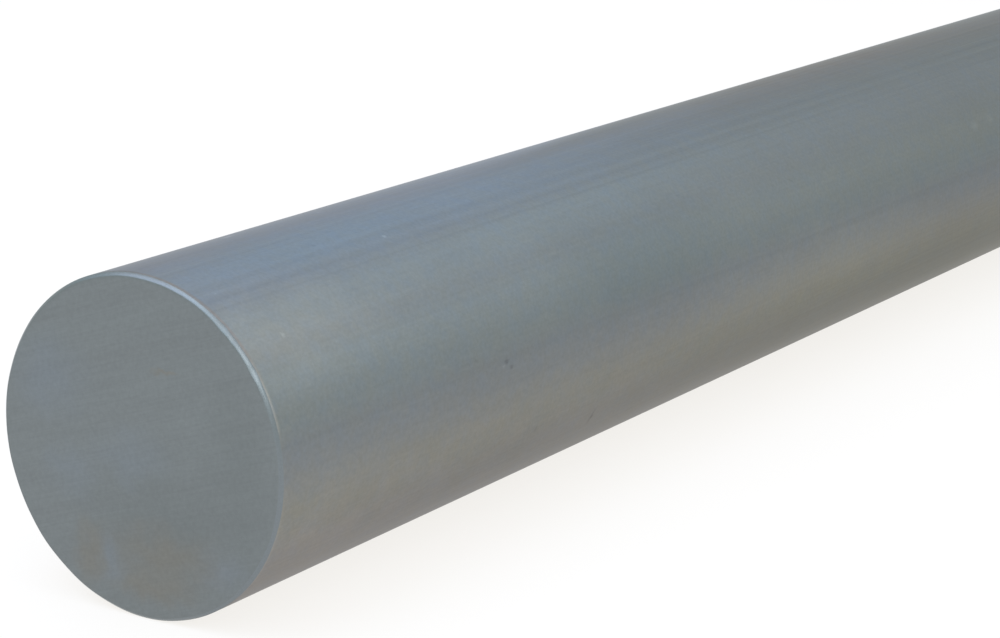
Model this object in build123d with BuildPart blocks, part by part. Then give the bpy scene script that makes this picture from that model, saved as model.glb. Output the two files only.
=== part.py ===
from build123d import *
import os

# Solid round bar of extruded aluminium, sawn to length, in millimetres.
# It lies on its side on z = 0. Its axis runs along +X, away from the end that faces the viewer,
# and the origin is midway along the line on which it lies.

# Driving dimensions
bar_diameter = 100.0  # stock diameter of the extrusion
bar_length = 1000.0  # length it is sawn to, over both end faces
edge_break = 1.0  # leg of the 45 degree bevel filed on each sawn edge

# Sizes that follow
bar_radius = bar_diameter / 2
front_end_x = -bar_length / 2

# The saw's first cut: a plane square to the bar, centred on its axis
front_cut = Plane(origin=(front_end_x, 0, bar_radius), x_dir=(0, 1, 0), z_dir=(1, 0, 0))


with BuildPart() as round_bar:
    # The die's round section, drawn out to the sawn length
    with BuildSketch(front_cut) as section:
        Circle(bar_radius)
    extrude(amount=bar_length)

    # Both sawn edges have their burr filed off
    sawn_edges = round_bar.edges().filter_by(GeomType.CIRCLE)
    chamfer(sawn_edges, length=edge_break)

round_bar.part.label = "round_bar"

os.makedirs("parts", exist_ok=True)
export_step(round_bar.part, "parts/round_bar.step")
print("round_bar volume in cm3:", round(round_bar.part.volume / 1000, 1))
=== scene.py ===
# %% [markdown]
# # A round bar of mill-finish aluminium
#
# The object is the plainest piece of stock in a metal shop: a solid round bar, 100 mm across and
# 1 m long. It was pushed through a die, sawn to length and had its two sharp edges filed. Nothing
# about its shape is hard, so everything that makes it look real is in three surfaces, one for each
# of those jobs, and in the few small marks that handling has left. This lesson models the relief of
# each surface as mesh, gives each its own metal, and lights them softly, because metal shows little
# besides what it reflects.

import math
import random

import bpy
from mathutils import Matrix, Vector


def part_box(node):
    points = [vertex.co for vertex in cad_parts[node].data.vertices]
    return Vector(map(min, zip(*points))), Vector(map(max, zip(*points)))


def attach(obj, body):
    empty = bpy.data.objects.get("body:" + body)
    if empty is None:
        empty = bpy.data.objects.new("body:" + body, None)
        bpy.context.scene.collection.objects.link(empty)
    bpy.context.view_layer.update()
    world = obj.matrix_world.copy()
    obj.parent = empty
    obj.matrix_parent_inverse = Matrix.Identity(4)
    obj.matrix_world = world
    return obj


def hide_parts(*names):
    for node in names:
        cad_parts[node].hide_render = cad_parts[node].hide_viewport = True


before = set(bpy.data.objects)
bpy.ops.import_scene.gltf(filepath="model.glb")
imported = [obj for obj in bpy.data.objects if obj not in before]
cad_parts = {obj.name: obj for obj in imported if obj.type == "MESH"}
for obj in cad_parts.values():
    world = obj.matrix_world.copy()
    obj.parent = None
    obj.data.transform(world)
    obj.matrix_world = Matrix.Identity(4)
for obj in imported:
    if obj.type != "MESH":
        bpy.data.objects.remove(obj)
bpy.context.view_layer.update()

MM = 0.001  # one millimetre, in the metres that the frame is in

low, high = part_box("round_bar")
BAR_RADIUS = (high[1] - low[1]) / 2
AXIS_HEIGHT = (high[2] + low[2]) / 2
FRONT_X = low[0]
BACK_X = high[0]
print(f"bar: {2 * BAR_RADIUS / MM:.1f} mm across, {(BACK_X - FRONT_X) / MM:.1f} mm long")

# %% [markdown]
# ## Places on the bar
#
# Every job on this bar is described by two numbers: how far along it a point lies, and how far
# round. The angle is 0 on the side that faces the viewer, along -Y, and 90 degrees on top. The ring
# of points is fine enough, a third of a degree, that the outline looks round from close by and a
# die line half a millimetre wide still gets two points.

# %% Angles round the bar
RING_POINTS = 1080
STEP = 2 * math.pi / RING_POINTS


def on_bar(x, radius, angle):
    """The point at this distance from the axis and this angle round it."""
    return (x, -radius * math.cos(angle), AXIS_HEIGHT + radius * math.sin(angle))


def turn_between(angle, other):
    """How far apart two angles are, the short way round."""
    return abs((angle - other + math.pi) % (2 * math.pi) - math.pi)


print(f"points round the bar stand {STEP * BAR_RADIUS / MM:.2f} mm apart")

# %% [markdown]
# ## The die's mark on the long side
#
# An extrusion die isn't perfectly smooth. Each tiny chip or bit of metal stuck to its mouth
# scratches or presses one line along the whole bar, called a die line, and often stains it too. They
# could be drawn as bump in the material, but they are true relief and run unbroken from end to end,
# so here they are in the outline itself: it is a circle with shallow dips. The lines that can be told
# apart have their own row in a list, which the metal's colour reads again further down. The rest are
# drawn by lot. None is deeper than a few hundredths of a millimetre, so they show only as streaks.

# %% Die lines
# Degrees round the bar, half width and depth in millimetres, and how much paler the metal is there
DIE_STREAKS = (
    (0, 0.4, 0.004, -0.02),
    (9, 0.7, 0.010, -0.04),
    (52.5, 1.2, 0.0, 0.03),
    (58, 0.5, 0.012, -0.06),
    (62.4, 0.9, 0.020, -0.05),
    (65.2, 0.5, 0.0, 0.05),
    (68.2, 0.6, 0.010, -0.05),
    (71.5, 0.5, 0.0, 0.04),
    (81.2, 0.7, 0.010, -0.05),
    (83.2, 0.5, 0.0, 0.04),
    (92, 0.8, 0.010, -0.03),
)
FAINT_LINES = 130
FAINT_HALF_WIDTH = (0.35 * MM, 1.6 * MM)
FAINT_STEEPNESS = (0.0005, 0.003)  # depth as a share of half the width
die_chance = random.Random(17)

# Each line: its angle, half its width and its depth
die_lines = [
    (math.radians(degrees), half_width * MM, depth * MM)
    for degrees, half_width, depth, paler in DIE_STREAKS
]
for _ in range(FAINT_LINES):
    half_width = die_chance.uniform(*FAINT_HALF_WIDTH)
    depth = die_chance.uniform(*FAINT_STEEPNESS) * half_width
    die_lines.append((die_chance.uniform(0, 2 * math.pi), half_width, depth))


def die_depth(angle):
    """How far the die's lines dip below the true radius at this angle."""
    dip = 0.0
    for line_angle, half_width, depth in die_lines:
        away = turn_between(angle, line_angle) * BAR_RADIUS / half_width
        dip += depth * math.exp(-away * away)
    return dip


die_dips = [die_depth(i * STEP) for i in range(RING_POINTS)]
print(f"deepest die line: {max(die_dips) / MM:.3f} mm")

# %% [markdown]
# ## The saw's mark on the end
#
# A bandsaw leaves its end face flat but ribbed. Each tooth scrapes a straight line across, and the
# blade shivers a little, so the lines come in bands. The lines slant because the bar was lying
# turned in the saw's vice. The relief is made of a few waves with wandering phases: cheap to work
# out, the same on every run, and never exactly repeating across the face.

# %% Saw marks
SAW_SLANT = math.radians(18)

# Each wave: how far apart its marks are, and how deep. Real scrapes are finer, and are in the material
SCRAPE = (2.1 * MM, 0.006 * MM)
BEAT = (2.9 * MM, 0.005 * MM)  # where two worn teeth fall in step
SHIVER = (7.7 * MM, 0.012 * MM)
DRIFT = (31 * MM, 0.03 * MM)

# The marks wander: by how many radians of their wave, and over what distance
WANDER_ALONG = (0.6, 23 * MM)
WANDER_ACROSS = (0.9, 11 * MM)
LEAN = 60 * MM  # over this length the wide bands lean by one radian of their wave

FRONT_MARKS = 1.3  # shifts the waves, so that the two ends aren't alike
BACK_MARKS = 4.1


def wave(wave_kind, across, shift):
    """One wave of the saw's relief, from 0 at its crests down to its depth."""
    pitch, depth = wave_kind
    return depth * (0.5 + 0.5 * math.sin(2 * math.pi * across / pitch + shift))


def saw_depth(along, across, seed):
    """How far the sawn face lies below its plane, at a point given along and across the strokes."""
    swing_along, length_along = WANDER_ALONG
    swing_across, length_across = WANDER_ACROSS
    wander = swing_along * math.sin(along / length_along + seed)
    wander += swing_across * math.sin(across / length_across + 2 * seed)
    lean = along / LEAN
    depth = wave(SCRAPE, across, wander) + wave(BEAT, across, 2 * wander)
    return depth + wave(SHIVER, across, lean + seed) + wave(DRIFT, across, lean)


deepest_saw_mark = sum(depth for pitch, depth in (SCRAPE, BEAT, SHIVER, DRIFT))
print(f"saw marks are at most {deepest_saw_mark / MM:.3f} mm deep")

# %% [markdown]
# ## The filed edge
#
# After the saw, somebody takes the burr off with a file, walking it round the rim. Each stroke
# bites a little more or less, so the bevel's width wanders, and its face is rounded because a hand
# never holds a file at one angle. That rounding is why the edge catches light from so many sides
# as one thin bright line. On the viewer's end three strokes bit deeper than the rest, and the rim
# has one small nick. A bevel modifier would make it perfectly even, so the edge is built from its
# own few rings, whose width changes from stroke to stroke.

# %% File strokes
EDGE_BREAK = 1.0 * MM
STROKES = 34
WIDTH_CHANGE = (-0.16, 0.096)  # a stroke is narrower or wider by up to these shares
FRONT_STROKES = 5  # the seeds that the strokes of the two ends are drawn from
BACK_STROKES = 8
NICK = (math.radians(35), 1.3 * MM, 0.03 * MM)  # the rim's one nick: angle, half width, depth

# Where the file bit hardest on the viewer's end: degrees round, half width and extra width in mm
DEEP_BITES = ((34.5, 2.2, 0.2), (46.5, 1.2, 0.12), (52, 2.2, 0.2))


def stroke_widths(seed):
    """The bevel's width at each file stroke round one end."""
    chance = random.Random(seed)
    return [EDGE_BREAK * (1 + chance.uniform(*WIDTH_CHANGE)) for _ in range(STROKES)]


def filed_width(angle, widths):
    """The bevel's width at this angle, easing from each stroke to the next."""
    place = (angle / (2 * math.pi)) % 1 * STROKES
    stroke = int(place) % STROKES
    share = place - int(place)
    ease = share * share * (3 - 2 * share)
    return widths[stroke] * (1 - ease) + widths[(stroke + 1) % STROKES] * ease


def nick_depth(angle):
    """The dent that the viewer's end has in its rim."""
    nick_angle, half_width, depth = NICK
    away = turn_between(angle, nick_angle) * BAR_RADIUS / half_width
    return depth * math.exp(-away * away)


def bite_width(angle):
    """How much wider than its strokes the bevel is here on the viewer's end."""
    extra = 0.0
    for degrees, half_width, width in DEEP_BITES:
        away = turn_between(angle, math.radians(degrees)) * BAR_RADIUS / (half_width * MM)
        extra += width * MM * math.exp(-away * away)
    return extra


front_widths = stroke_widths(FRONT_STROKES)
print(f"front bevel: {min(front_widths) / MM:.2f} to {max(front_widths) / MM:.2f} mm wide")

# %% [markdown]
# ## Putting the skin together
#
# The bar is one closed skin of rings, each bridged to the next with four-sided faces: in along the
# front bevel, down the length, and out again at the back. Long faces are fine where the bar is
# straight, but smooth shading blends the normals of faces that meet, so a narrow ring is added on
# both sides of each bevel. It keeps that blend within a millimetre and a half. Each face remembers
# which of the three surfaces it belongs to.

# %% Rings and the faces between them
EXTRUDED, SAWN, FILED = range(3)  # the order of the materials on the mesh

points = []
faces = []
face_surface = []


def add_points(places):
    """Adds a ring or a row of points and gives their numbers."""
    start = len(points)
    points.extend(places)
    return list(range(start, len(points)))


def add_face(corners, surface):
    """Adds a face between points, given by their numbers, and notes its surface."""
    faces.append(corners)
    face_surface.append(surface)


def bridge(ring, next_ring, surface):
    """Joins two rings with a band of faces."""
    for i in range(len(ring)):
        j = (i + 1) % len(ring)
        add_face((ring[i], ring[j], next_ring[j], next_ring[i]), surface)


print(f"{RING_POINTS} points make each ring")

# %% [markdown]
# A bevel is a stack of rings. At share 1 a ring lies on the long side, with the die lines in its
# outline, and at share 0 it lies on the sawn face, with the saw marks in it. The rings between
# pass from the one relief to the other.

# %% One end: a bevel from the long side in to the sawn face
BEVEL_STEPS = (1.0, 0.92, 0.8, 0.65, 0.5, 0.35, 0.2, 0.08, 0.0)  # 1 is at the long side
BEVEL_CROWN = 0.05  # the bevel bulges by this share of its width
FACE_RADIUS = BAR_RADIUS - 1.9 * MM  # inside this the face is all saw marks


def saw_axes(angle, radius):
    """A point of an end in the saw's directions: along the stroke, and across it."""
    turned = angle - SAW_SLANT
    return radius * math.cos(turned), radius * math.sin(turned)


def end_point(end_x, inward, angle, radius, seed):
    """A point of the sawn face, pressed in by the saw marks."""
    along, across = saw_axes(angle, radius)
    return on_bar(end_x + inward * saw_depth(along, across, seed), radius, angle)


def bevel_ring(share, end_x, inward, widths, nicked, seed):
    """One ring of the bevel. inward is 1 at the front end and -1 at the back."""
    places = []
    for i in range(RING_POINTS):
        angle = i * STEP
        dent = nick_depth(angle) if nicked else 0.0
        width = filed_width(angle, widths) + (bite_width(angle) if nicked else 0.0)
        crown = BEVEL_CROWN * width * 4 * share * (1 - share)  # fullest halfway across the bevel
        side_in = width * share - crown + dent
        down = width * (1 - share) - crown + dent + die_dips[i] * share
        along, across = saw_axes(angle, BAR_RADIUS - down)
        side_in += saw_depth(along, across, seed) * (1 - share)
        places.append(on_bar(end_x + inward * side_in, BAR_RADIUS - down, angle))
    return add_points(places)


print(f"{len(BEVEL_STEPS)} rings make each bevel")

# %% [markdown]
# The sawn face itself is filled with rows that run along the saw's strokes, from each ring point to
# the one opposite. The rows then lie exactly as close as the ring's points do, and the scrapes run
# with the mesh instead of stepping across it.

# %% The sawn face
ROW_POINTS = 30  # faces along each row


def fill_face(ring, end_x, inward, seed):
    """Fills a ring with rows of faces along the saw's strokes."""
    half = RING_POINTS // 2
    top = round((math.pi / 2 + SAW_SLANT) / STEP)  # the ring point furthest across the strokes
    rows = [[ring[top]]]
    for k in range(1, half):
        right = ring[(top - k) % RING_POINTS]
        left = ring[(top + k) % RING_POINTS]
        across = FACE_RADIUS * math.cos(k * STEP)
        half_row = FACE_RADIUS * math.sin(k * STEP)
        inner = []
        for j in range(1, ROW_POINTS):
            along = half_row * (1 - 2 * j / ROW_POINTS)
            radius = math.hypot(along, across)
            angle = math.atan2(across, along) + SAW_SLANT
            inner.append(end_point(end_x, inward, angle, radius, seed))
        rows.append([right, *add_points(inner), left])
    rows.append([ring[(top + half) % RING_POINTS]])

    # The first and the last row are one point each, so the faces there are triangles
    for row, next_row in zip(rows, rows[1:]):
        for j in range(ROW_POINTS):
            corners = [row[min(j, len(row) - 1)], row[min(j + 1, len(row) - 1)]]
            corners += [next_row[min(j + 1, len(next_row) - 1)], next_row[min(j, len(next_row) - 1)]]
            add_face(tuple(dict.fromkeys(corners)), SAWN)


def build_end(end_x, inward, stroke_seed, saw_seed, nicked):
    """Builds one end and gives the ring where the long side begins."""
    widths = stroke_widths(stroke_seed)
    rings = [bevel_ring(s, end_x, inward, widths, nicked, saw_seed) for s in BEVEL_STEPS]
    for ring, next_ring in zip(rings, rings[1:]):
        bridge(ring, next_ring, FILED)
    rim = [end_point(end_x, inward, i * STEP, FACE_RADIUS, saw_seed) for i in range(RING_POINTS)]
    face_ring = add_points(rim)
    bridge(rings[-1], face_ring, SAWN)
    fill_face(face_ring, end_x, inward, saw_seed)
    return rings[0]


front_side = build_end(FRONT_X, 1, FRONT_STROKES, FRONT_MARKS, nicked=True)
back_side = build_end(BACK_X, -1, BACK_STROKES, BACK_MARKS, nicked=False)
print(f"both ends: {len(points)} points, {len(faces)} faces")

# %% [markdown]
# The long side is straight, so few rings will do. The first and the last stand close beside the
# bevels, and the others are spread evenly between them.

# %% The long side, from the front bevel to the back one
SIDE_MARGIN = 1.5 * MM  # the narrow band beside each bevel
SIDE_BANDS = 20

side_start = FRONT_X + EDGE_BREAK + SIDE_MARGIN
side_end = BACK_X - EDGE_BREAK - SIDE_MARGIN
ring = front_side
for k in range(SIDE_BANDS + 1):
    x = side_start + (side_end - side_start) * k / SIDE_BANDS
    places = [on_bar(x, BAR_RADIUS - die_dips[i], i * STEP) for i in range(RING_POINTS)]
    next_ring = add_points(places)
    bridge(ring, next_ring, EXTRUDED)
    ring = next_ring
bridge(ring, back_side, EXTRUDED)

skin = bpy.data.meshes.new("sawn_bar")
skin.from_pydata(points, [], faces)
skin.polygons.foreach_set("material_index", face_surface)
skin.validate()
bar = bpy.data.objects.new("sawn_bar", skin)
bpy.context.scene.collection.objects.link(bar)

# Blender's own pass turns every face outwards, so neither end needs its corners reversed by hand
bpy.context.view_layer.objects.active = bar
bar.select_set(True)
bpy.ops.object.mode_set(mode="EDIT")
bpy.ops.mesh.select_all(action="SELECT")
bpy.ops.mesh.normals_make_consistent(inside=False)
bpy.ops.object.mode_set(mode="OBJECT")
skin.shade_smooth()

triangles = sum(len(face) - 2 for face in faces)
print(f"bar: {triangles} triangles")

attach(bar, "root")
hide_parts("round_bar")

# %% [markdown]
# ## Helpers for every metal here
#
# Colours are written the way a painter or a web page writes them, as sRGB hex, and turned to the
# linear values that a shader works in by one function. A second one adds a node, sets it and links
# it in one line, so a material reads from its coordinates down to its shader. Two short ones save
# repeating: the start of every metal, and a coat mixed over a colour where a noise is high.

# %% Colour and node helpers
def linear(hex_colour):
    """An sRGB hex colour as the linear red, green, blue and alpha of a socket."""
    levels = [int(hex_colour[i : i + 2], 16) / 255 for i in (1, 3, 5)]
    return tuple(v / 12.92 if v <= 0.04045 else ((v + 0.055) / 1.055) ** 2.4 for v in levels) + (1.0,)


def add_node(tree, kind, inputs=None, output=0, **settings):
    """Adds a node and gives one of its outputs. inputs maps a socket to a value or to another output.

    Sockets go by name or by number. Several can share a name, so it means the one now in use.
    """
    node = tree.nodes.new(kind)
    for name, value in settings.items():
        setattr(node, name, value)

    def in_use(sockets, key):
        usable = [s for s in sockets if s.enabled]
        return usable[key] if isinstance(key, int) else next(s for s in usable if s.name == key)

    for key, value in (inputs or {}).items():
        socket = in_use(node.inputs, key)
        if isinstance(value, bpy.types.NodeSocket):
            tree.links.new(value, socket)
        else:
            socket.default_value = value
    return in_use(node.outputs, output) if node.outputs else node


def new_metal(name):
    """An empty material with its node tree, and the place on the bar as a socket."""
    metal = bpy.data.materials.new(name)
    metal.use_nodes = True
    tree = metal.node_tree
    tree.nodes.clear()
    place = add_node(tree, "ShaderNodeTexCoord", output="Object")
    return metal, tree, place


def coated(tree, colour, noise, coat):
    """The colour with a coat mixed over it where a noise is high.

    A coat is its colour, its strength, and the noise where it starts and where it is full.
    """
    hex_colour, strength, start, full = coat
    share = add_node(
        tree,
        "ShaderNodeMapRange",
        {"Value": noise, "From Min": start, "From Max": full, "To Max": strength},
    )
    return add_node(
        tree,
        "ShaderNodeMix",
        {"Factor": share, "A": colour, "B": linear(hex_colour)},
        data_type="RGBA",
    )


print("mid grey #808080 is", [round(v, 3) for v in linear("#808080")[:3]])

# %% [markdown]
# ## Mill-finish extruded aluminium
#
# Straight from the press, aluminium isn't shiny: it has a dull grey skin of oxide and is covered
# with fine lines along its length. The eye reads it by four things. Streaks run the whole length,
# the reflection is soft, the tone drifts a little in clouds where the skin is thicker, and each
# die line has its own tone. The streaks are one noise texture whose coordinates are squeezed along
# the bar, so that it draws lines instead of dots. A die line's tone is laid on by angle: the nodes
# work out how far round the bar a point lies, and how near that is to the line.

# %% Values for the extruded surface
DIE_LINE_SPACING = 0.9 * MM  # real lines lie 0.1 to 1 mm apart: drawn at the coarse end so they show
TONE_BAND = 9 * MM  # the skin's grey changes slowly across the lines
OXIDE_CLOUD = 45 * MM
GRAIN = 1.2 * MM  # the etch of the oxide skin is finer, about 0.1 mm: drawn coarse so that it shows
BLOTCH = 5 * MM
STREAK_STRETCH = 0.004  # a streak is this much finer across than along
STREAK_FADE = 160 * MM  # a streak comes and goes over about this length
STREAK_LEFT = 0.4  # the share of a streak that is left where it is faintest
GRAIN_TONE = 0.13  # the grain makes a point paler or darker by up to this share
GRAIN_RELIEF = 0.4  # how high the grain stands beside the lines
SKIN_RELIEF = 0.008 * MM
SKIN_ROUGHNESS = (0.27, 0.37)
OXIDE_EDGE = "#c8c8c8"  # bare metal mirrors at a glancing angle, and the oxide holds that back
OXIDE_GREYS = ("#878787", "#8e8e8d")

# The coats over that grey: colour, strength, and the noise where each starts and where it is full
STREAK_COAT = ("#7d7e7e", 0.2, 0.35, 0.65)
BLOTCH_COAT = ("#85898f", 0.6, 0.4, 0.65)
CLOUD_COAT = ("#838280", 0.3, 0.4, 0.7)

# Painted reflection: broad bands round the bar, paler or darker, that copy what the metal mirrors
# from this camera: a dark line where the level is mirrored, a paler one just above it, a cooler band
# over the top, and a warmer underside with a darker lower edge. Degrees round the bar, half width in
# millimetres, and how much more red, green and blue the metal mirrors there
PAINTED_REFLECTION_BANDS = (
    (-57, 5, (-0.20, -0.18, -0.17)),
    (-42, 18, (-0.07, -0.07, -0.21)),
    (-14, 9, (0.01, 0.0, -0.08)),
    (8, 10, (-0.17, -0.11, -0.09)),
    (24, 8, (0.04, 0.08, 0.08)),
    (57, 11, (0.01, 0.01, 0.04)),
    (88, 10, (0.06, -0.01, 0.0)),
)

# Patches of tone: the paler ones by the near end, under the bar and at 42 degrees round, are painted
# light, the warmer and darker one over the top far along is a painted reflection, and the rest are
# where the oxide grew thinner or thicker. Millimetres from the near end, degrees round, half
# length, half width, and the same three shares
OXIDE_AND_PAINTED_LIGHT_PATCHES = (
    (0, -46, 340, 25, (0.25, 0.20, 0.31)),
    (25, -38, 40, 16, (0.08, 0.06, 0.04)),
    (20, 42, 45, 14, (0.20, 0.16, 0.11)),
    (200, 28, 55, 18, (-0.10, -0.07, -0.05)),
    (330, -4, 90, 14, (0.10, 0.09, 0.04)),
    (60, 78, 50, 14, (-0.05, -0.02, -0.02)),
    (420, 100, 120, 10, (-0.08, -0.19, -0.26)),
)
PATCH_TEAR = 12 * MM  # the size of the lobes along a patch's edge
END_WEAR = (90 * MM, 0.02)  # hands and slings polish each end: how far in, and how much paler

# The bands are painted reflection, and some of the patches are painted light
print(f"{len(PAINTED_REFLECTION_BANDS)} bands and {len(OXIDE_AND_PAINTED_LIGHT_PATCHES)} patches of oxide")

# %% [markdown]
# Handling leaves marks that follow no pattern, so each has its own row: six bright nicks, four dark
# spots, one scratch that runs across the lines, and two smudges far along. Besides those, small
# pits are strewn over the whole bar by a Voronoi texture, whose cells keep them apart. Each mark is
# an ellipsoid of tone about its place on the bar, with its edge torn by a noise.

# %% Marks of handling
# Millimetres from the near end, degrees round, half length, half width, and how much paler
HANDLING_MARKS = (
    (53, 100.5, 2.5, 1.0, 0.6),
    (93, 96.4, 1.2, 0.8, 0.25),
    (90.5, 66.5, 0.8, 0.6, 0.40),
    (9.4, 64.7, 0.7, 0.4, 0.25),
    (19, 42.6, 0.7, 0.6, 0.2),
    (111.5, 8.2, 1.2, 0.9, -0.25),
    (110, 6.8, 0.7, 0.5, 0.2),
    (114, 5.5, 1.1, 0.8, -0.25),
    (96, 12.3, 0.9, 0.6, -0.15),
    (134, -24, 0.9, 1.3, -0.15),
    (172, -31.5, 0.9, 3.2, -0.3),
    (466, 28.6, 3.0, 1.8, 0.15),
    (482, 29.2, 2.5, 1.6, 0.12),
)
MARK_TEAR = 1.2 * MM  # the size of the tears along a mark's edge
PIT_SPACING = 20 * MM
PIT_RADIUS = 0.7 * MM
PIT_TONE = -0.1
MARK_REACH = 1.5  # a mark has faded out at this many times its half size
LINE_REACH = 2  # and a line at this many times its half width
SHAKE = 1.6  # a torn edge strays over a span this many times the size of its tears


def closeness(tree, away, reach, strength):
    """The strength where away is 0, easing to nothing at reach."""
    return add_node(
        tree,
        "ShaderNodeMapRange",
        {"Value": away, "From Max": reach, "To Min": strength, "To Max": 0.0},
        interpolation_type="SMOOTHSTEP",
    )


def mark_tone(tree, place, centre, half_size, strength):
    """How much paler one mark makes a point. half_size is the mark's half size along each axis."""
    offset = add_node(tree, "ShaderNodeVectorMath", {0: place, 1: centre}, operation="SUBTRACT")
    scaled = add_node(tree, "ShaderNodeVectorMath", {0: offset, 1: half_size}, operation="DIVIDE")
    away = add_node(tree, "ShaderNodeVectorMath", {0: scaled}, "Value", operation="LENGTH")
    return closeness(tree, away, MARK_REACH, strength)


def shaken(tree, place, size):
    """The place, moved about by a noise of this size, so that a mark drawn there has a ragged edge."""
    noise = add_node(
        tree, "ShaderNodeTexNoise", {"Vector": place, "Scale": 1 / size, "Detail": 3}, "Color"
    )
    middle = (0.5, 0.5, 0.5)
    centred = add_node(tree, "ShaderNodeVectorMath", {0: noise, 1: middle}, operation="SUBTRACT")
    reach = (SHAKE * size, SHAKE * size, SHAKE * size)
    return add_node(
        tree, "ShaderNodeVectorMath", {0: centred, 1: reach, 2: place}, operation="MULTIPLY_ADD"
    )


def total(tree, parts):
    """All the parts added up."""
    added = parts[0]
    for part in parts[1:]:
        added = add_node(tree, "ShaderNodeMath", {0: added, 1: part}, operation="ADD")
    return added


print(f"{len(HANDLING_MARKS)} marks, and pits about {PIT_SPACING / MM:.0f} mm apart")

# %% [markdown]
# Three functions turn the rows into tone: the streaks that the die leaves, which come and go along
# the bar, the bands of painted reflection and the patches of oxide and painted light, which change
# its colour too, and the wear. Each adds its nodes row by row, so a new mark needs nothing but a
# new row.

# %% Tone of the extruded surface
def angle_round(tree, place):
    """The angle round the bar, up from the side at -Y, as a node's output."""
    across = add_node(tree, "ShaderNodeSeparateXYZ", {0: place}, "Y")
    up = add_node(tree, "ShaderNodeSeparateXYZ", {0: place}, "Z")
    towards = add_node(tree, "ShaderNodeMath", {0: across, 1: -1.0}, operation="MULTIPLY")
    above = add_node(tree, "ShaderNodeMath", {0: up, 1: AXIS_HEIGHT}, operation="SUBTRACT")
    return add_node(tree, "ShaderNodeMath", {0: above, 1: towards}, operation="ARCTAN2")


def line_tone(tree, angle, degrees, half_width, strength):
    """The strength along one line of the bar, easing to nothing beside it."""
    turn = add_node(tree, "ShaderNodeMath", {0: angle, 1: math.radians(degrees)}, operation="SUBTRACT")
    away = add_node(tree, "ShaderNodeMath", {0: turn}, operation="ABSOLUTE")
    return closeness(tree, away, LINE_REACH * half_width * MM / BAR_RADIUS, strength)


def streak_tones(tree, place):
    """How much paler the die's streaks make each point. They come and go along the bar."""
    angle = angle_round(tree, place)
    streaks = total(
        tree,
        [
            line_tone(tree, angle, degrees, half_width, paler)
            for degrees, half_width, depth, paler in DIE_STREAKS
        ],
    )
    along = add_node(tree, "ShaderNodeSeparateXYZ", {0: place}, "X")
    fading = add_node(
        tree, "ShaderNodeTexNoise", {"W": along, "Scale": 1 / STREAK_FADE}, noise_dimensions="1D"
    )
    kept = add_node(
        tree,
        "ShaderNodeMapRange",
        {"Value": fading, "From Min": 0.3, "From Max": 0.6, "To Min": STREAK_LEFT},
    )
    return add_node(tree, "ShaderNodeMath", {0: streaks, 1: kept}, operation="MULTIPLY")


def painted_light_and_oxide_tint(tree, place):
    """What the metal's colour is multiplied by: bands of painted reflection, and patches of oxide and
    of painted light.
    """
    angle = angle_round(tree, place)
    lobed = shaken(tree, place, PATCH_TEAR)
    parts = [
        (line_tone(tree, angle, degrees, half_width, 1.0), shares)
        for degrees, half_width, shares in PAINTED_REFLECTION_BANDS
    ]
    for distance, degrees, half_length, half_width, shares in OXIDE_AND_PAINTED_LIGHT_PATCHES:
        centre = on_bar(FRONT_X + distance * MM, BAR_RADIUS, math.radians(degrees))
        half_size = (half_length * MM, half_width * MM, half_width * MM)
        parts.append((mark_tone(tree, lobed, centre, half_size, 1.0), shares))
    tint = (1.0, 1.0, 1.0)
    for strength, shares in parts:
        tint = add_node(
            tree, "ShaderNodeVectorMath", {0: strength, 1: shares, 2: tint}, operation="MULTIPLY_ADD"
        )
    return tint


def wear_tones(tree, place):
    """How much paler handling has made each point: worn ends, single marks and pits."""
    along = add_node(tree, "ShaderNodeSeparateXYZ", {0: place}, "X")
    from_middle = add_node(tree, "ShaderNodeMath", {0: along}, operation="ABSOLUTE")
    from_end = add_node(tree, "ShaderNodeMath", {0: BACK_X, 1: from_middle}, operation="SUBTRACT")
    wear_reach, wear = END_WEAR
    parts = [closeness(tree, from_end, wear_reach, wear)]

    ragged = shaken(tree, place, MARK_TEAR)
    for distance, degrees, half_length, half_width, paler in HANDLING_MARKS:
        centre = on_bar(FRONT_X + distance * MM, BAR_RADIUS, math.radians(degrees))
        half_size = (half_length * MM, half_width * MM, half_width * MM)
        parts.append(mark_tone(tree, ragged, centre, half_size, paler))
    cell = add_node(
        tree, "ShaderNodeTexVoronoi", {"Vector": ragged, "Scale": 1 / PIT_SPACING}, "Distance"
    )
    parts.append(closeness(tree, cell, MARK_REACH * PIT_RADIUS / PIT_SPACING, PIT_TONE))
    return total(tree, parts)


print(f"a streak fades over {STREAK_FADE / MM:.0f} mm, a worn end over {END_WEAR[0] / MM:.0f} mm")
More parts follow.
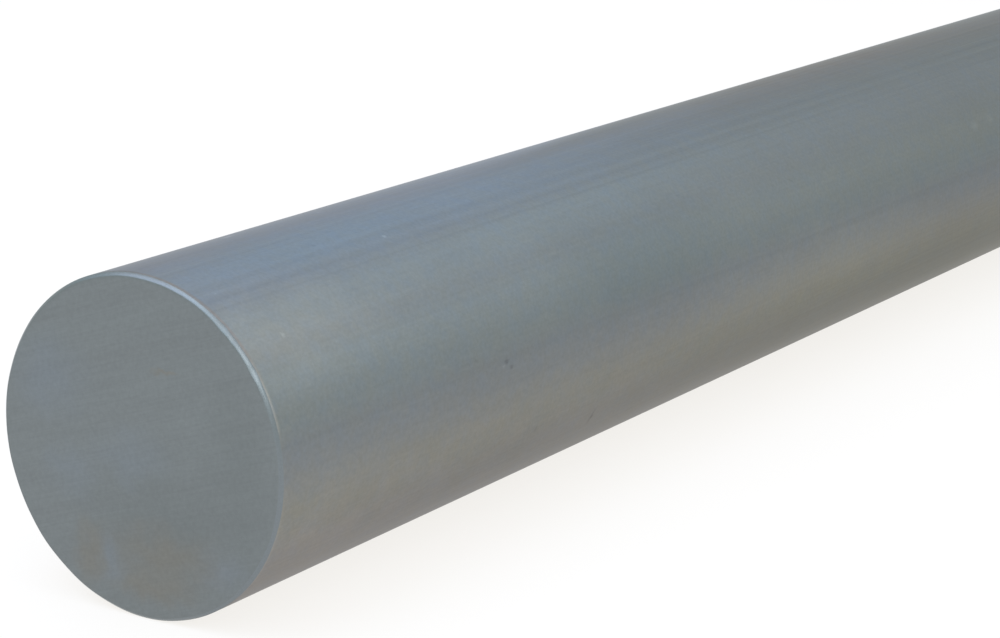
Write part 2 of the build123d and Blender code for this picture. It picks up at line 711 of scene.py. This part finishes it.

# %% [markdown]
# The metal itself is layered like the real skin: a grey that drifts in slow bands, then the coats
# of streaks, blotches and clouds over it, then the tint, which paints reflection and light into the
# colour as well as the oxide's, and the tone from above. The fine lines set the roughness and the
# relief as well as the colour, as they do on the real bar.

# %% Extruded surface
def extruded_aluminium():
    """The metal of the long side."""
    metal, tree, place = new_metal("mill_finish_extruded_aluminium")
    drawn_out = add_node(
        tree, "ShaderNodeMapping", {"Vector": place, "Scale": (STREAK_STRETCH, 1, 1)}
    )
    lines = add_node(
        tree,
        "ShaderNodeTexNoise",
        {"Vector": drawn_out, "Scale": 1 / DIE_LINE_SPACING, "Detail": 3, "Roughness": 0.6},
    )
    bands = add_node(
        tree,
        "ShaderNodeTexNoise",
        {"Vector": drawn_out, "Scale": 1 / TONE_BAND, "Detail": 4, "Roughness": 0.55},
    )
    clouds = add_node(
        tree,
        "ShaderNodeTexNoise",
        {"Vector": place, "Scale": 1 / OXIDE_CLOUD, "Detail": 5, "Roughness": 0.6},
    )
    grain = add_node(
        tree,
        "ShaderNodeTexNoise",
        {"Vector": place, "Scale": 1 / GRAIN, "Detail": 2, "Roughness": 0.6},
    )
    blotches = add_node(
        tree,
        "ShaderNodeTexNoise",
        {"Vector": place, "Scale": 1 / BLOTCH, "Detail": 3, "Roughness": 0.6},
    )

    dark, pale = OXIDE_GREYS
    toned = add_node(
        tree,
        "ShaderNodeMix",
        {"Factor": bands, "A": linear(dark), "B": linear(pale)},
        data_type="RGBA",
    )
    streaked = coated(tree, toned, lines, STREAK_COAT)
    blotched = coated(tree, streaked, blotches, BLOTCH_COAT)
    clouded = coated(tree, blotched, clouds, CLOUD_COAT)
    mottle = add_node(
        tree,
        "ShaderNodeMapRange",
        {"Value": grain, "To Min": 1 - GRAIN_TONE, "To Max": 1 + GRAIN_TONE},
    )
    tone = total(tree, [mottle, streak_tones(tree, place), wear_tones(tree, place)])
    # The tint paints reflection and light into the colour, besides the oxide's own colour
    tinted = add_node(
        tree, "ShaderNodeVectorMath", {0: clouded, 1: painted_light_and_oxide_tint(tree, place)}, operation="MULTIPLY"
    )
    coloured = add_node(
        tree, "ShaderNodeVectorMath", {0: tinted, "Scale": tone}, operation="SCALE"
    )

    smoothest, roughest = SKIN_ROUGHNESS
    roughness = add_node(
        tree, "ShaderNodeMapRange", {"Value": lines, "To Min": smoothest, "To Max": roughest}
    )
    relief = add_node(
        tree, "ShaderNodeMath", {0: grain, 1: GRAIN_RELIEF, 2: lines}, operation="MULTIPLY_ADD"
    )
    bump = add_node(
        tree, "ShaderNodeBump", {"Height": relief, "Distance": SKIN_RELIEF, "Strength": 1.0}
    )
    shader = add_node(
        tree,
        "ShaderNodeBsdfPrincipled",
        {
            "Base Color": coloured,
            "Metallic": 1.0,
            "Roughness": roughness,
            "Specular Tint": linear(OXIDE_EDGE),
            "Normal": bump,
        },
    )
    add_node(tree, "ShaderNodeOutputMaterial", {"Surface": shader})
    return metal


skin.materials.append(extruded_aluminium())
print("extruded side:", skin.materials[EXTRUDED].name)

# %% [markdown]
# ## Sawn aluminium
#
# The saw tears the metal more than it cuts it, so a sawn face is duller than the skin and faintly
# streaked along the strokes. Streaks come from the same trick as before, with the coordinates turned
# to the saw's slant first. Over that lie patches of other greys: a darker one over the lower half and
# the right, a few a little browner than the metal, most of them near the foot, and elsewhere a few
# that are faintly bluer.

# %% Sawn surface
SCRAPE_SPACING = 0.6 * MM  # a bandsaw for bar this size leaves 0.2 to 1 mm between scrapes
SHIVER_BAND = 8 * MM
STROKE_STRETCH = 0.03  # a scrape is this much finer across than along
SAWN_GRAIN_TONE = 0.1
SCRAPE_RELIEF = 0.01 * MM
SAWN_ROUGHNESS = (0.4, 0.55)
SAWN_GREYS = ("#7b8082", "#838a8c")
SCRAPE_COAT = ("#777c7e", 0.2, 0.35, 0.65)
BROWNER_GREY = "#837f76"
BLUER_GREY = "#808992"
DARKER_GREY = "#747a7b"
SAWN_PATCH_TEAR = 9 * MM  # the size of the lobes along a patch's edge
SAWN_PATCH_DEPTH = 1.0  # metres along the bar, so many that the face's relief makes no difference

# Patches of other greys: millimetres to the right of the axis and above it, half width, half height,
# strength and colour
SAWN_FACE_PATCHES = (
    (12, -22, 34, 20, 0.5, DARKER_GREY),
    (36, 4, 12, 22, 0.4, DARKER_GREY),
    (9, -30, 20, 8, 0.5, BROWNER_GREY),
    (-19, -33, 6, 9, 0.5, BROWNER_GREY),
    (3, -40, 15, 5, 0.5, BROWNER_GREY),
    (10.5, 23, 4, 1, 0.5, BROWNER_GREY),
    (-11, -35, 6, 7, 0.45, BLUER_GREY),
    (30, -31, 8, 6, 0.5, BLUER_GREY),
    (-3, -3, 13, 8, 0.4, BLUER_GREY),
    (-33, 16, 14, 12, 0.5, BLUER_GREY),
    (-25, -10, 9, 8, 0.4, BLUER_GREY),
)


def sawn_aluminium():
    """The metal of the two end faces."""
    metal, tree, place = new_metal("bandsawn_aluminium")
    turned = add_node(
        tree, "ShaderNodeMapping", {"Vector": place, "Rotation": (SAW_SLANT, 0, 0)}
    )
    scraped = add_node(
        tree, "ShaderNodeMapping", {"Vector": turned, "Scale": (1, STROKE_STRETCH, 1)}
    )
    scrapes = add_node(
        tree,
        "ShaderNodeTexNoise",
        {"Vector": scraped, "Scale": 1 / SCRAPE_SPACING, "Detail": 3, "Roughness": 0.65},
    )
    bands = add_node(
        tree,
        "ShaderNodeTexNoise",
        {"Vector": scraped, "Scale": 1 / SHIVER_BAND, "Detail": 3, "Roughness": 0.6},
    )

    dark, pale = SAWN_GREYS
    toned = add_node(
        tree,
        "ShaderNodeMix",
        {"Factor": bands, "A": linear(dark), "B": linear(pale)},
        data_type="RGBA",
    )
    stained = coated(tree, toned, scrapes, SCRAPE_COAT)
    ragged = shaken(tree, place, SAWN_PATCH_TEAR)
    for right, above, half_width, half_height, strength, hex_colour in SAWN_FACE_PATCHES:
        centre = (FRONT_X, -right * MM, AXIS_HEIGHT + above * MM)
        half_size = (SAWN_PATCH_DEPTH, half_width * MM, half_height * MM)
        patch_share = mark_tone(tree, ragged, centre, half_size, strength)
        stained = add_node(
            tree,
            "ShaderNodeMix",
            {"Factor": patch_share, "A": stained, "B": linear(hex_colour)},
            data_type="RGBA",
        )
    grain = add_node(
        tree,
        "ShaderNodeTexNoise",
        {"Vector": place, "Scale": 1 / GRAIN, "Detail": 2, "Roughness": 0.6},
    )
    mottle = add_node(
        tree,
        "ShaderNodeMapRange",
        {"Value": grain, "To Min": 1 - SAWN_GRAIN_TONE, "To Max": 1 + SAWN_GRAIN_TONE},
    )
    coloured = add_node(
        tree, "ShaderNodeVectorMath", {0: stained, "Scale": mottle}, operation="SCALE"
    )

    smoothest, roughest = SAWN_ROUGHNESS
    roughness = add_node(
        tree, "ShaderNodeMapRange", {"Value": scrapes, "To Min": smoothest, "To Max": roughest}
    )
    bump = add_node(
        tree, "ShaderNodeBump", {"Height": scrapes, "Distance": SCRAPE_RELIEF, "Strength": 1.0}
    )
    shader = add_node(
        tree,
        "ShaderNodeBsdfPrincipled",
        {"Base Color": coloured, "Metallic": 1.0, "Roughness": roughness, "Normal": bump},
    )
    add_node(tree, "ShaderNodeOutputMaterial", {"Surface": shader})
    return metal


skin.materials.append(sawn_aluminium())
print("sawn ends:", skin.materials[SAWN].name)

# %% [markdown]
# ## Filed aluminium
#
# Where the file went, the oxide is gone and the metal is bright. It is the one place that looks
# shiny, and it catches the light as a thin pale line round the end.

# %% Filed surface
FILE_TOOTH = 0.5 * MM
TOOTH_RELIEF = 0.01 * MM
FILED_ROUGHNESS = (0.28, 0.42)
FILED_GREYS = ("#757c80", "#848b8f")


def filed_aluminium():
    """The metal of the two bevels."""
    metal, tree, place = new_metal("filed_aluminium")
    scratches = add_node(
        tree, "ShaderNodeTexNoise", {"Vector": place, "Scale": 1 / FILE_TOOTH, "Detail": 3}
    )
    dark, pale = FILED_GREYS
    colour = add_node(
        tree,
        "ShaderNodeMix",
        {"Factor": scratches, "A": linear(dark), "B": linear(pale)},
        data_type="RGBA",
    )
    smoothest, roughest = FILED_ROUGHNESS
    roughness = add_node(
        tree, "ShaderNodeMapRange", {"Value": scratches, "To Min": smoothest, "To Max": roughest}
    )
    bump = add_node(
        tree, "ShaderNodeBump", {"Height": scratches, "Distance": TOOTH_RELIEF, "Strength": 1.0}
    )
    shader = add_node(
        tree,
        "ShaderNodeBsdfPrincipled",
        {"Base Color": colour, "Metallic": 1.0, "Roughness": roughness, "Normal": bump},
    )
    add_node(tree, "ShaderNodeOutputMaterial", {"Surface": shader})
    return metal


skin.materials.append(filed_aluminium())
print("filed edges:", skin.materials[FILED].name)

# %% [markdown]
# ## The floor
#
# A pale floor that is white to the camera. Most of that white is its own glow, which camera and
# glossy rays see alike, so the metal mirrors the same white floor. The rest is ordinary diffuse
# colour, and that is what carries the bar's shadow.

# %% Floor
FLOOR_REACH = 12.0  # metres from side to side
FLOOR_GLOW = 0.84  # where white paper is 1
GLOW_COLOUR = "#fffcf7"
PAPER_GREY = "#70747c"

corner = FLOOR_REACH / 2
floor_corners = [(-corner, -corner, 0), (corner, -corner, 0), (corner, corner, 0), (-corner, corner, 0)]
floor_mesh = bpy.data.meshes.new("studio_floor")
floor_mesh.from_pydata(floor_corners, [], [(0, 1, 2, 3)])
floor = bpy.data.objects.new("studio_floor", floor_mesh)
bpy.context.scene.collection.objects.link(floor)


def pale_floor():
    """A matt grey paper that glows white to the camera and to the metal."""
    paper = bpy.data.materials.new("pale_studio_floor")
    paper.use_nodes = True
    tree = paper.node_tree
    tree.nodes.clear()
    seen = 0.0
    for kind in ("Is Camera Ray", "Is Glossy Ray", "Is Transmission Ray"):
        ray = add_node(tree, "ShaderNodeLightPath", output=kind)
        seen = add_node(tree, "ShaderNodeMath", {0: seen, 1: ray}, operation="ADD", use_clamp=True)
    strength = add_node(tree, "ShaderNodeMath", {0: seen, 1: FLOOR_GLOW}, operation="MULTIPLY")
    glow = add_node(
        tree, "ShaderNodeEmission", {"Color": linear(GLOW_COLOUR), "Strength": strength}
    )
    matt = add_node(tree, "ShaderNodeBsdfDiffuse", {"Color": linear(PAPER_GREY)})
    both = add_node(tree, "ShaderNodeAddShader", {0: glow, 1: matt})
    add_node(tree, "ShaderNodeOutputMaterial", {"Surface": both})
    return paper


floor_mesh.materials.append(pale_floor())
print(f"floor: {FLOOR_REACH:.0f} m square")

# %% [markdown]
# ## The light
#
# Metal has no colour of its own in the way paint has: it shows the room. So the room is kept as
# plain as a light tent, near white all round.

# %% The tent
# How far up the tent's wall, as the sine of the angle above level, and its colour there
TENT_WALL = (
    (0.0, "#eef6f7"),
    (0.2, "#e5e8e1"),
    (0.45, "#eafbfe"),
    (0.75, "#ffffff"),
    (1.0, "#ffffff"),
)


def light_tent():
    """A world whose colour changes with the height above level."""
    world = bpy.data.worlds.new("light_tent")
    world.use_nodes = True
    tree = world.node_tree
    tree.nodes.clear()
    direction = add_node(tree, "ShaderNodeTexCoord", output="Generated")
    height = add_node(tree, "ShaderNodeSeparateXYZ", {"Vector": direction}, output="Z")
    colour = add_node(tree, "ShaderNodeValToRGB", {"Fac": height})
    ramp = colour.node.color_ramp
    while len(ramp.elements) < len(TENT_WALL):
        ramp.elements.new(0.5)  # every stop gets its own place below
    for stop, (position, hex_colour) in zip(ramp.elements, TENT_WALL):
        stop.position = position
        stop.color = linear(hex_colour)
    background = add_node(tree, "ShaderNodeBackground", {"Color": colour, "Strength": 1.0})
    add_node(tree, "ShaderNodeOutputWorld", {"Surface": background})
    return world


bpy.context.scene.world = light_tent()
print(f"tent wall: {len(TENT_WALL)} colours from level to overhead")

# %% [markdown]
# What the bar's long side mirrors for this camera is an arc that rises over its far end, from low
# on the right to low on the left. Seven small soft boxes stand along that arc, as blue as daylight
# beside the tent, and brightest at its left. They give the top of the bar its cool tint and fade
# along it, because they are near. A second arc, of five boxes, passes over the camera. It is what
# the filed edge mirrors, and draws the bright line on it. One more, almost straight overhead,
# lights the outer half of that edge, and a low one on the right fills the side behind it.

# %% The soft boxes
# Where each box stands, seen from the near end: degrees from +X towards +Y, degrees up, and metres
# away. Then its width in metres, how bright its face is, where white paper is 1, and its colour
SOFT_BOXES = {
    "arc_1": (-36, 17, 1.4, 0.5, 0.17, "#9cc6ff"),
    "arc_2": (-27, 30, 1.4, 0.5, 0.13, "#cbd7ff"),
    "arc_3": (-11, 38, 1.4, 0.5, 0.27, "#84e2ff"),
    "arc_4": (8, 39, 1.4, 0.5, 0.17, "#6fc8ff"),
    "arc_5": (20, 34, 1.4, 0.5, 0.37, "#5bb0ff"),
    "arc_6": (31, 26, 1.4, 0.5, 0.54, "#8ac8ff"),
    "arc_7": (39, 10, 1.4, 0.5, 0.42, "#acc7ff"),
    "rim_1": (-140, 33, 1.2, 0.5, 2.2, "#fafdff"),
    "rim_2": (-156, 46, 1.2, 0.5, 0.6, "#f2f8ff"),
    "rim_3": (180, 57, 1.2, 0.5, 1.45, "#cce6f8"),
    "rim_4": (150, 56, 1.2, 0.5, 1.45, "#c6d4f8"),
    "rim_5": (120, 48, 1.2, 0.5, 1.25, "#cfdcf8"),
    "overhead": (150, 84, 1.2, 0.6, 1.6, "#dbe6f4"),
    "low_on_the_right": (-76, 22, 0.67, 0.35, 0.75, "#fbe2d2"),
}
near_end = Vector((FRONT_X, 0, AXIS_HEIGHT))


def soft_box(name, azimuth, elevation, distance, width, radiance, hex_colour):
    """A square area lamp that faces the near end."""
    across = math.cos(math.radians(elevation))
    direction = Vector((
        across * math.cos(math.radians(azimuth)),
        across * math.sin(math.radians(azimuth)),
        math.sin(math.radians(elevation)),
    ))
    data = bpy.data.lights.new(name, "AREA")
    data.size = width
    data.energy = radiance * width * width * math.pi  # the power of a square face that bright
    data.color = linear(hex_colour)[:3]
    lamp = bpy.data.objects.new(name, data)
    lamp.location = near_end + distance * direction
    lamp.rotation_euler = direction.to_track_quat("Z", "Y").to_euler()
    bpy.context.scene.collection.objects.link(lamp)
    return lamp


lamps = [soft_box(name, *facts) for name, facts in SOFT_BOXES.items()]
print(f"{len(lamps)} soft boxes, {sum(lamp.data.energy for lamp in lamps):.1f} W in all")

# %% [markdown]
# ## The camera
#
# The photographer stood about three quarters of a metre from the near end, a little above it and
# well to the -Y side, with a long lens. The place, the two angles and the lens were matched to the
# bar's outline, so the bar fills the frame as it does in the photograph.

# %% Camera
CAMERA_PLACE = (-1.0670, -0.4900, 0.2772)
CAMERA_YAW = math.radians(33.13)  # from along the bar towards +Y
CAMERA_PITCH = math.radians(-14.35)
SENSOR_WIDTH = 36  # mm
LENS = 100.6  # mm, for a sensor that wide

camera_data = bpy.data.cameras.new("camera")
camera_data.lens = LENS
camera_data.sensor_width = SENSOR_WIDTH
camera = bpy.data.objects.new("camera", camera_data)
camera.location = CAMERA_PLACE
camera.rotation_euler = (math.pi / 2 + CAMERA_PITCH, 0, CAMERA_YAW - math.pi / 2)
bpy.context.scene.collection.objects.link(camera)
bpy.context.scene.camera = camera
bpy.context.scene.view_settings.view_transform = "Standard"

print(f"camera stands {(Vector(CAMERA_PLACE) - near_end).length:.2f} m from the near end")
